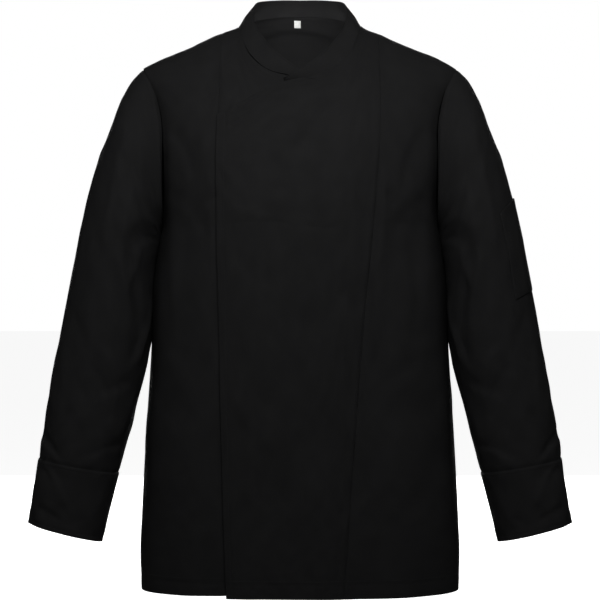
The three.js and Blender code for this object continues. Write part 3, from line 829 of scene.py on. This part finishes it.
def kinked(corner_shares, *runs):
    """A line of several runs, each from its own share of the way to the next."""

    def at(u):
        x = 0 * u
        for low, high, run in zip(corner_shares[:-1], corner_shares[1:], runs):
            inside = (u >= low) & (u <= high)
            x = np.where(inside, run(np.clip((u - low) / (high - low), 0, 1)), x)
        return x

    return at


LAP_SHARES = (0, 0.37, 0.90, 1)
lap_top_x = kinked(
    LAP_SHARES,
    lambda t: mix(LAP_CORNER_X, COLLAR_TIP_X, t),
    lambda t: mix(COLLAR_TIP_X, NECK_POINT_X, 1 - (1 - t) ** 1.35),
    lambda t: mix(NECK_POINT_X, SEAM_TOP_X, t),
)


def lap_top_z(x):
    along = (x - LAP_CORNER_X) / (COLLAR_TIP_X - LAP_CORNER_X)
    slant = mix(LAP_CORNER_Z, front_neck_z(COLLAR_TIP_X), along)
    neck = np.where(x < NECK_POINT_X, front_neck_z(x), ridge_z(x))
    return np.where(x < COLLAR_TIP_X, slant, neck)


def place_centre(sign, top_x, top_z, inner_x, inner_top_z, seam_x, hem_z):
    """A centre panel: its inner edge is free, and its outer one is the panel seam."""

    def place(u, v):
        low_z = edge_height(v, inner_top_z, hem_z)
        high_z = edge_height(v, ridge_z(SEAM_TOP_X), hem_z)
        low_x, high_x = inner_x(low_z), seam_x(high_z)
        along_x = top_x(u)
        extra_x = along_x - mix(top_x(0 * u), top_x(0 * u + 1), u)
        extra_z = top_z(along_x) - mix(inner_top_z, ridge_z(SEAM_TOP_X), u)
        x = mix(low_x, high_x, u) + extra_x * v
        z = mix(low_z, high_z, u) + extra_z * v
        return on_torso(FRONT, sign * x, z)

    return place


def lap_lift(x, z, v):
    """The lap lies out on what it covers, comes back level at its own seam, and lies close at its top."""
    lift = LAP_LIFT * (1 - smooth((x - LAP_FADE_FROM) / (left_seam_x(z) - LAP_FADE_FROM)))
    on_slant = 1 - smooth((x - COLLAR_TIP_X) / 20)
    close = smooth((v - 0.93) / 0.07) * on_slant
    return lift - close * (lift - 1.2)


def relief_lap(u, v, points):
    x, z = points[..., 0], points[..., 2]
    wear = crease_height(FRONT_CREASES, x, z) + unevenness(x, z)
    edge = x + right_seam_x(z)
    edge_line = dip(edge - 7, 0.3, 1.8) * smooth((-190 - z) / 60)
    ridge_at_seam = 0.5 * np.exp(-(((left_seam_x(z) - x - 4) / 3) ** 2)) * smooth((-90 - z) / 60)
    seam = dip(left_seam_x(z) - x, left_pull(z), 2.2)
    top = dip((1 - v) * FRONT_LENGTH, 2.0, 7) * smooth((x - COLLAR_TIP_X) / 12)
    return wear + lap_lift(x, z, v) + edge_line + ridge_at_seam + seam + top + hem_line(z)


def lap_edge_x(z):
    return -right_seam_x(z) - LAP_PAST_SEAM


place_lap = place_centre(1, lap_top_x, lap_top_z, lap_edge_x, LAP_CORNER_Z, left_seam_x, HEM_Z)
front_left = cloth(
    "lap_panel", 90, 190, place_lap, relief_lap, (270, 760), wall=1.2, crowded=(0.6, 0.7)
)


def underlap_top_x(u):
    return mix(-UNDERLAP_PAST_CENTRE, SEAM_TOP_X, u)


def underlap_top_z(x):
    return np.where(x < NECK_POINT_X, front_neck_z(x), ridge_z(x))


def relief_underlap(u, v, points):
    x, z = points[..., 0], points[..., 2]
    wear = crease_height(FRONT_CREASES, x, z) + unevenness(x, z)
    seam = dip(x + right_seam_x(z), right_pull(z), 2.6)
    return wear + seam - 0.2 + dip((1 - v) * FRONT_LENGTH, 2.0, 7)


def underlap_edge_x(z):
    return -UNDERLAP_PAST_CENTRE + 0 * z


place_underlap = place_centre(
    -1,
    underlap_top_x,
    underlap_top_z,
    underlap_edge_x,
    float(front_neck_z(-UNDERLAP_PAST_CENTRE)),
    right_seam_x,
    HEM_Z + SHORT_HEM,
)
front_right = cloth("underlap_panel", 56, 180, place_underlap, relief_underlap, (140, 760), flip=True)

# %% [markdown]
# ## Sleeves
#
# A sleeve is a tube, sewn into the armhole at its top and gathered into a plain cuff at its end.
# Each row of the table is one section, from its outer line to its inner one. The seam pulls the cloth
# in all round the armhole, and the elbow keeps the creases of a bent arm.

# %% Sleeve sections
SLEEVE_POWER = 2.15
CUFF_ROW = 11
SLEEVE_END = 11.09  # the sleeve runs on a little under the cuff
CUFF_END = 12.95  # the cuff's lower edge is turned up, which takes a little of its length
CUFF_INSET = 6  # of the stitches from both edges of the cuff
ARMHOLE_FADE_ROWS = 3
ARMHOLE_GAP = -1.2  # the sleeve's edge is tucked under the torso's
SLEEVE = table(
    "outer_x outer_z inner_x inner_z front back forward",
    (213, -61, 188.6, -275, 64, 66, 0),
    (229, -78, 189.2, -280, 68, 70, 0),
    (245, -108, 190, -286, 72, 74, 0),
    (258.5, -146, 191.8, -295, 75, 77, 0),
    (271.3, -185, 194.2, -310, 77, 79, 1),
    (286.5, -238, 198.6, -334, 77, 78, 2),
    (299.5, -292, 201.4, -368, 73, 74, 4),
    (313.5, -362, 202.4, -420, 66, 68, 8),
    (325, -424, 206.4, -461, 61, 63, 12),
    (334.5, -480, 218.4, -508, 57, 58, 17),
    (344, -536, 231.6, -560, 52, 53, 22),
    (352.4, -588, 244, -608, 48, 49, 26),
    (359.3, -634, 255, -655, 46, 46, 29),
    (365, -676, 266.4, -701.5, 45, 45, 31),
)
for index, row in enumerate(SLEEVE):
    row["row"] = index
sleeve_at = {key: curve(SLEEVE, "row", key) for key in SLEEVE[0] if key != "row"}


def sleeve_ring(row, angle):
    out = (power(np.cos(angle), 2 / SLEEVE_POWER) + 1) / 2
    deep = power(np.sin(angle), 2 / SLEEVE_POWER)
    depth = np.where(deep > 0, sleeve_at["front"](row), sleeve_at["back"](row))
    x = mix(sleeve_at["inner_x"](row), sleeve_at["outer_x"](row), out)
    z = mix(sleeve_at["inner_z"](row), sleeve_at["outer_z"](row), out)
    return x, -sleeve_at["forward"](row) - depth * deep, z


def armhole_ring(angle):
    z = mix(UNDERARM_Z, SHOULDER_TIP_Z, (np.cos(angle) + 1) / 2)
    x = armhole_x(z)
    y = np.where(np.sin(angle) > 0, torso_y(FRONT, x, z), torso_y(BACK, x, z))
    return x + ARMHOLE_GAP, y, z


def sleeve_point(row, angle):
    share = np.clip(1 - row / ARMHOLE_FADE_ROWS, 0, 1) ** 2
    ring, start, armhole = sleeve_ring(row, angle), sleeve_ring(0 * row, angle), armhole_ring(angle)
    return [at + (hole - first) * share for at, hole, first in zip(ring, armhole, start)]


def turned(degrees):
    """Degrees from the outer line, from -180 to 180, towards the front."""
    return (degrees + 180) % 360 - 180


print("sleeve sections:", len(SLEEVE))

# %% Both sleeves
def place_sleeve(sign, from_row, to_row):
    def place(u, v):
        x, y, z = sleeve_point(mix(from_row, to_row, v), 2 * math.pi * u)
        return sign * x, y, z

    return place


def sleeve_wear(row, degrees, start):
    a, b = on_sleeve(turned(degrees), row)
    slow = smooth(row / 1.2)
    wrap = 1 - smooth((np.abs(a) - 165) / 15)
    worn = mix(1.0, 1.8, smooth((row - 6.5) / 3))  # the lower sleeve is handled most
    return crease_height(SLEEVE_CREASES, a, b) + unevenness(a, b, start) * slow * wrap * worn


def relief_sleeve(start):
    def relief(u, v, points):
        degrees, row = 360 * u, SLEEVE_END * v
        top = np.clip(np.cos(np.radians(degrees)), 0, 1)
        under = smooth((-np.cos(np.radians(degrees)) - 0.5) / 0.4)
        depth = mix(mix(3.0, 0.5, smooth((top - 0.45) / 0.45)), -0.6, under)
        armhole = dip(row * SECTION, depth, 6)
        cap = 0.5 * np.exp(-(((row - 0.28) / 0.2) ** 2)) * top
        cuff = dip(np.maximum(CUFF_ROW - row, 0) * SECTION, 0.9, 4)
        inner = 180 - np.abs(turned(degrees))
        seam = dip(inner, 1.2, 3) * smooth(row - 7.2)
        against_body = 3.0 * np.exp(-((inner / 30) ** 2)) * (1 - smooth((row - 6.9) / 0.9))
        against_body = against_body * smooth(row / 0.6)
        return sleeve_wear(row, degrees, start) + armhole + cap + cuff + seam + against_body

    return relief


def relief_cuff(start):
    def relief(u, v, points):
        degrees, row = 360 * u, mix(CUFF_ROW, CUFF_END, v)
        proud = 0.7 * (1 - smooth((row - CUFF_ROW) / 0.5))
        from_seam, from_end = (row - CUFF_ROW) * SECTION, (CUFF_END - row) * SECTION
        top = dip(from_seam, 0.6, 1.8)
        stitched = dip(from_seam - CUFF_INSET, 0.2, 1.6) + dip(from_end - CUFF_INSET, 0.25, 1.6)
        seam = dip(180 - np.abs(turned(degrees)), 1.0, 3)
        return sleeve_wear(row, degrees, start) + proud + top + stitched + seam

    return relief


SLEEVE_CUT, CUFF_CUT = (420, 575), (300, 100)
SIDES = (("left", 1, 0.4), ("right", -1, 0.9))  # name, sign, and where the unevenness starts
sleeves, cuffs = {}, {}
for side, sign, start in SIDES:
    tube = {"closed": True, "flip": sign < 0}
    sleeve = place_sleeve(sign, 0, SLEEVE_END), relief_sleeve(start)
    cuff = place_sleeve(sign, CUFF_ROW, CUFF_END), relief_cuff(start)
    sleeves[side] = cloth(f"sleeve_tube_{side}", 120, 170, *sleeve, SLEEVE_CUT, **tube)
    cuffs[side] = cloth(f"cuff_band_{side}", 100, 40, *cuff, CUFF_CUT, wall=1.4, **tube)

# %% [markdown]
# ## Collar, pocket and label
#
# The collar is a low stand: one doubled band from the centre front, round the back of the neck, to
# the other end. Its outer end lies on the lap and has a small point. The pocket is a flat patch on
# the wearer's left sleeve, for a thermometer or a pen. The label is a short tape inside the back.

# %% Collar
COLLAR_BACK = table(
    "seam_x x y z",
    (0, 0, 74, 42),
    (30, 24, 69, 41.5),
    (56, 43, 54, 38),
    (74, 56, 33, 32),
)
COLLAR_FRONT = table(
    "seam_x x y z",
    (83, 62, 8, 21),
    (79.5, 62, -12, 5),
    (75, 57.5, -27, -9),
    (67, 48, -43, -24),
    (54, 36, -58, -39),
    (36, 20, -70, -54),
    (14, 3, -79, -67),
    (-6, -10, -84, -76),
    (-21, -21, -87, -83.5),
)
COLLAR_OUTER_LIFT, COLLAR_INNER_LIFT = 2.2, -4.8
COLLAR_SEAT = -0.8
COLLAR_CUT = (480, 33)
collar_half = COLLAR_BACK + COLLAR_FRONT
for index, row in enumerate(collar_half):
    row["row"] = index
collar_at = {key: curve(collar_half, "row", key) for key in ("seam_x", "x", "y", "z")}
COLLAR_END = len(collar_half) - 1


def place_collar(u, v):
    along = mix(COLLAR_END, -COLLAR_END, u)
    row = np.abs(along)
    seam_x = collar_at["seam_x"](row)
    in_front = row >= len(COLLAR_BACK)
    seam_z = np.where(in_front, front_neck_z(seam_x), back_neck_z(seam_x))
    seam_y = np.where(in_front, torso_y(FRONT, seam_x, seam_z), torso_y(BACK, seam_x, seam_z))
    seam = np.stack((seam_x, seam_y, seam_z), axis=-1)
    top = np.stack([collar_at[key](row) for key in ("x", "y", "z")], axis=-1)
    up = top - seam
    length = np.linalg.norm(up, axis=-1, keepdims=True)
    point = seam + up / length * (COLLAR_SEAT * (1 - v[..., None]) + length * v[..., None])
    lift = np.where(along > 0, COLLAR_OUTER_LIFT, COLLAR_INNER_LIFT)
    out = lift * smooth((row - len(COLLAR_BACK) - 2) / 5)
    return np.where(along < 0, -1, 1) * point[..., 0], point[..., 1] - out, point[..., 2]


def relief_collar(u, v, points):
    length, height = COLLAR_CUT
    roll = 0.5 * np.sin(math.pi * v)
    stitched = dip((1 - v) * height - 4, 0.35, 1.2)
    tip = 1.3 * (1 - smooth(u / 0.14)) * (1 - 0.5 * v)
    side = 3.4 * np.exp(-(((np.abs(u - 0.5) - 0.125) / 0.06) ** 2)) * smooth(v / 0.5)
    wear = 0.35 * unevenness(u * length, v * height, start=2.2) * smooth(v / 0.3)
    return tip + side + roll + stitched + wear


collar = cloth(
    "collar_band", 200, 24, place_collar, relief_collar, COLLAR_CUT, wall=2.0, crowded=(0.3, 0.4)
)

# %% Sleeve pocket
POCKET_FROM, POCKET_TO = (60, 5), (-20, 7)  # degrees and section of its two corners
POCKET_LIFT = 1.1
POCKET_ACROSS, POCKET_DOWN = 100, 105  # roughly, between its edges


def pocket_place(u, v):
    degrees = mix(POCKET_TO[0], POCKET_FROM[0], u)
    row = mix(POCKET_FROM[1], POCKET_TO[1], v)
    return sleeve_point(row, np.radians(degrees))


def relief_pocket(u, v, points):
    degrees = mix(POCKET_TO[0], POCKET_FROM[0], u)
    row = mix(POCKET_FROM[1], POCKET_TO[1], v)
    edge = dip(np.minimum(u, 1 - u) * POCKET_ACROSS, 0.4, 2.5) + dip((1 - v) * POCKET_DOWN, 0.4, 2.5)
    mouth = 0.7 * np.exp(-((v * POCKET_DOWN / 8) ** 2)) * np.sin(math.pi * u)
    fullness = 0.5 * np.sin(math.pi * u) * np.sin(math.pi * (0.15 + 0.85 * v))
    return sleeve_wear(row, degrees, 0.4) + POCKET_LIFT + edge + mouth + fullness


pocket = cloth("pocket_patch", 60, 60, pocket_place, relief_pocket, (115, 112), crowded=(0.5, 0.5))

# %% Neck label
LABEL_X, LABEL_TOP, LABEL_WIDTH, LABEL_HEIGHT = -3.5, 16, 10, 9


def place_label(u, v):
    x = LABEL_X + LABEL_WIDTH * (0.5 - u)
    return on_torso(BACK, x, LABEL_TOP - LABEL_HEIGHT * (1 - v))


def relief_label(u, v, points):
    """The tape lies on the inside of the back and follows its creases."""
    below_seam = 0.9
    return relief_back(u, 0 * v + below_seam, points) - 1.6


label = cloth("label_tape", 12, 12, place_label, relief_label, (10, 12), wall=0.6, crowded=(0, 0))

# %% [markdown]
# ## Stitching
#
# Rows of topstitching hold the folded edges flat. Each stitch is a small bead of black thread,
# barely proud of the cloth, about 3 mm from the next. A row reads its line from the same surface
# as the cloth, so it follows every crease.

# %% Rows of stitches
STITCH_PITCH, STITCH_LENGTH, STITCH_THICKNESS = 3.2, 2.4, 0.55
bead = bmesh.new()
bmesh.ops.create_uvsphere(bead, u_segments=6, v_segments=4, radius=0.5)
BEAD_POINTS = np.array([vertex.co for vertex in bead.verts])
BEAD_FACES = [[vertex.index for vertex in face.verts] for face in bead.faces]
bead.free()


def stitch_row(place, relief, u, v, closed=False, flip=False):
    """Beads along a line of places (u, v) on a cloth, as points in millimetres."""
    points, normal = surface(place, relief, u, v, closed, flip)
    run = np.concatenate([[0], np.cumsum(np.linalg.norm(np.diff(points, axis=0), axis=1))])
    at = np.arange(STITCH_PITCH, run[-1] - STITCH_PITCH, STITCH_PITCH)
    centre = np.stack([np.interp(at, run, points[:, k]) for k in range(3)], axis=-1)
    out = np.stack([np.interp(at, run, normal[:, k]) for k in range(3)], axis=-1)
    along = np.gradient(centre, axis=0)
    along /= np.linalg.norm(along, axis=1, keepdims=True)
    across = np.cross(along, out)
    across /= np.maximum(np.linalg.norm(across, axis=1, keepdims=True), 1e-9)
    up = np.cross(across, along)
    size = np.array([STITCH_THICKNESS, STITCH_THICKNESS, STITCH_LENGTH])
    local = BEAD_POINTS * size
    beads = (
        centre[:, None, :]
        + local[None, :, 0, None] * across[:, None, :]
        + local[None, :, 1, None] * up[:, None, :]
        + local[None, :, 2, None] * along[:, None, :]
    )
    return beads.reshape(-1, 3)


def stitches(name, rows):
    points = np.concatenate(rows) * MM
    count = len(points) // len(BEAD_POINTS)
    faces = [[index + k * len(BEAD_POINTS) for index in face] for k in range(count) for face in BEAD_FACES]
    mesh = bpy.data.meshes.new(name)
    mesh.from_pydata(points.tolist(), [], faces)
    mesh.polygons.foreach_set("use_smooth", [True] * len(mesh.polygons))
    piece = bpy.data.objects.new(name, mesh)
    bpy.context.scene.collection.objects.link(piece)
    print(name, count, "stitches")
    return finish_piece(piece, THREAD)


ALONG = np.linspace(0.004, 0.996, 400)  # shares of a row's length


def level(height, start=0.0, end=1.0):
    """A line across a sheet at share `height` of the way up."""
    return mix(start, end, ALONG), height + 0 * ALONG


HEM_SHARE = HEM_FOLD / SIDE_CUT[1]
torso_threads = [
    stitch_row(place_back, relief_back, *level(HEM_SHARE)),
    stitch_row(place_lap, relief_lap, *level(HEM_SHARE)),
    stitch_row(place_lap, relief_lap, 0.045 + 0 * ALONG, mix(0.012, 0.965, ALONG)),
    stitch_row(*left_side, *level(HEM_SHARE)),
    stitch_row(*right_side, *level(HEM_SHARE), flip=True),
]
torso_stitches = stitches("torso_stitches", torso_threads)
cuff_threads = []
for side, sign, start in SIDES:
    cuff = place_sleeve(sign, CUFF_ROW, CUFF_END), relief_cuff(start)
    for height in (0.06, 0.94):
        cuff_threads.append(stitch_row(*cuff, *level(height), closed=True, flip=sign < 0))
cuff_stitches = stitches("cuff_stitches", cuff_threads)
collar_stitches = stitches("collar_stitches", [stitch_row(place_collar, relief_collar, *level(0.87))])
pocket_threads = [
    stitch_row(pocket_place, relief_pocket, *level(0.985)),
    stitch_row(pocket_place, relief_pocket, 0.02 + 0 * ALONG, ALONG),
    stitch_row(pocket_place, relief_pocket, 0.98 + 0 * ALONG, ALONG),
    stitch_row(pocket_place, relief_pocket, *level(0.14)),
]
pocket_stitches = stitches("pocket_stitches", pocket_threads)

# %% [markdown]
# ## What each sheet is cut to
#
# Each piece stands for its CAD solid and states the cut it is sewn from: a width and a length, with
# the area where it isn't a rectangle.
# The widths and lengths are round figures, and some are out by up to a quarter. Sleeves and cuffs
# are closed to a tube, so their width is an average of the whole way round.

# %% Sheets
SHEETS = [
    (back, "back", (0.560, 0.790), 0.385, ["side_front_left", "side_front_right"], []),
    (front_left, "front_left", (0.270, 0.760), 0.134, ["front_right", "side_front_left"], [torso_stitches]),
    (front_right, "front_right", (0.200, 0.760), 0.098, ["side_front_right"], []),
    (side_front_left, "side_front_left", (0.260, 0.720), 0.128, ["back"], []),
    (side_front_right, "side_front_right", (0.240, 0.720), 0.114, ["back"], []),
    (sleeves["left"], "sleeve_left", (0.420, 0.575), 0.178, ["back"], []),
    (sleeves["right"], "sleeve_right", (0.420, 0.575), 0.178, ["back"], []),
    (cuffs["left"], "cuff_left", (0.310, 0.100), None, ["sleeve_left"], [cuff_stitches]),
    (cuffs["right"], "cuff_right", (0.310, 0.100), None, ["sleeve_right"], []),
    (collar, "collar", (0.480, 0.033), None, ["back"], [collar_stitches]),
    (pocket, "sleeve_pocket", (0.115, 0.112), None, ["sleeve_left"], [pocket_stitches]),
    (label, "neck_label", (0.010, 0.012), None, ["back"], []),
]
for piece, node_name, flat, area, rests_on, with_pieces in SHEETS:
    is_label = piece is label
    finish_piece(piece, TAPE if is_label else TWILL)
    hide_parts(node_name)
for piece, node_name, flat, area, rests_on, with_pieces in SHEETS:
    print(piece.name, "is cut to", flat)
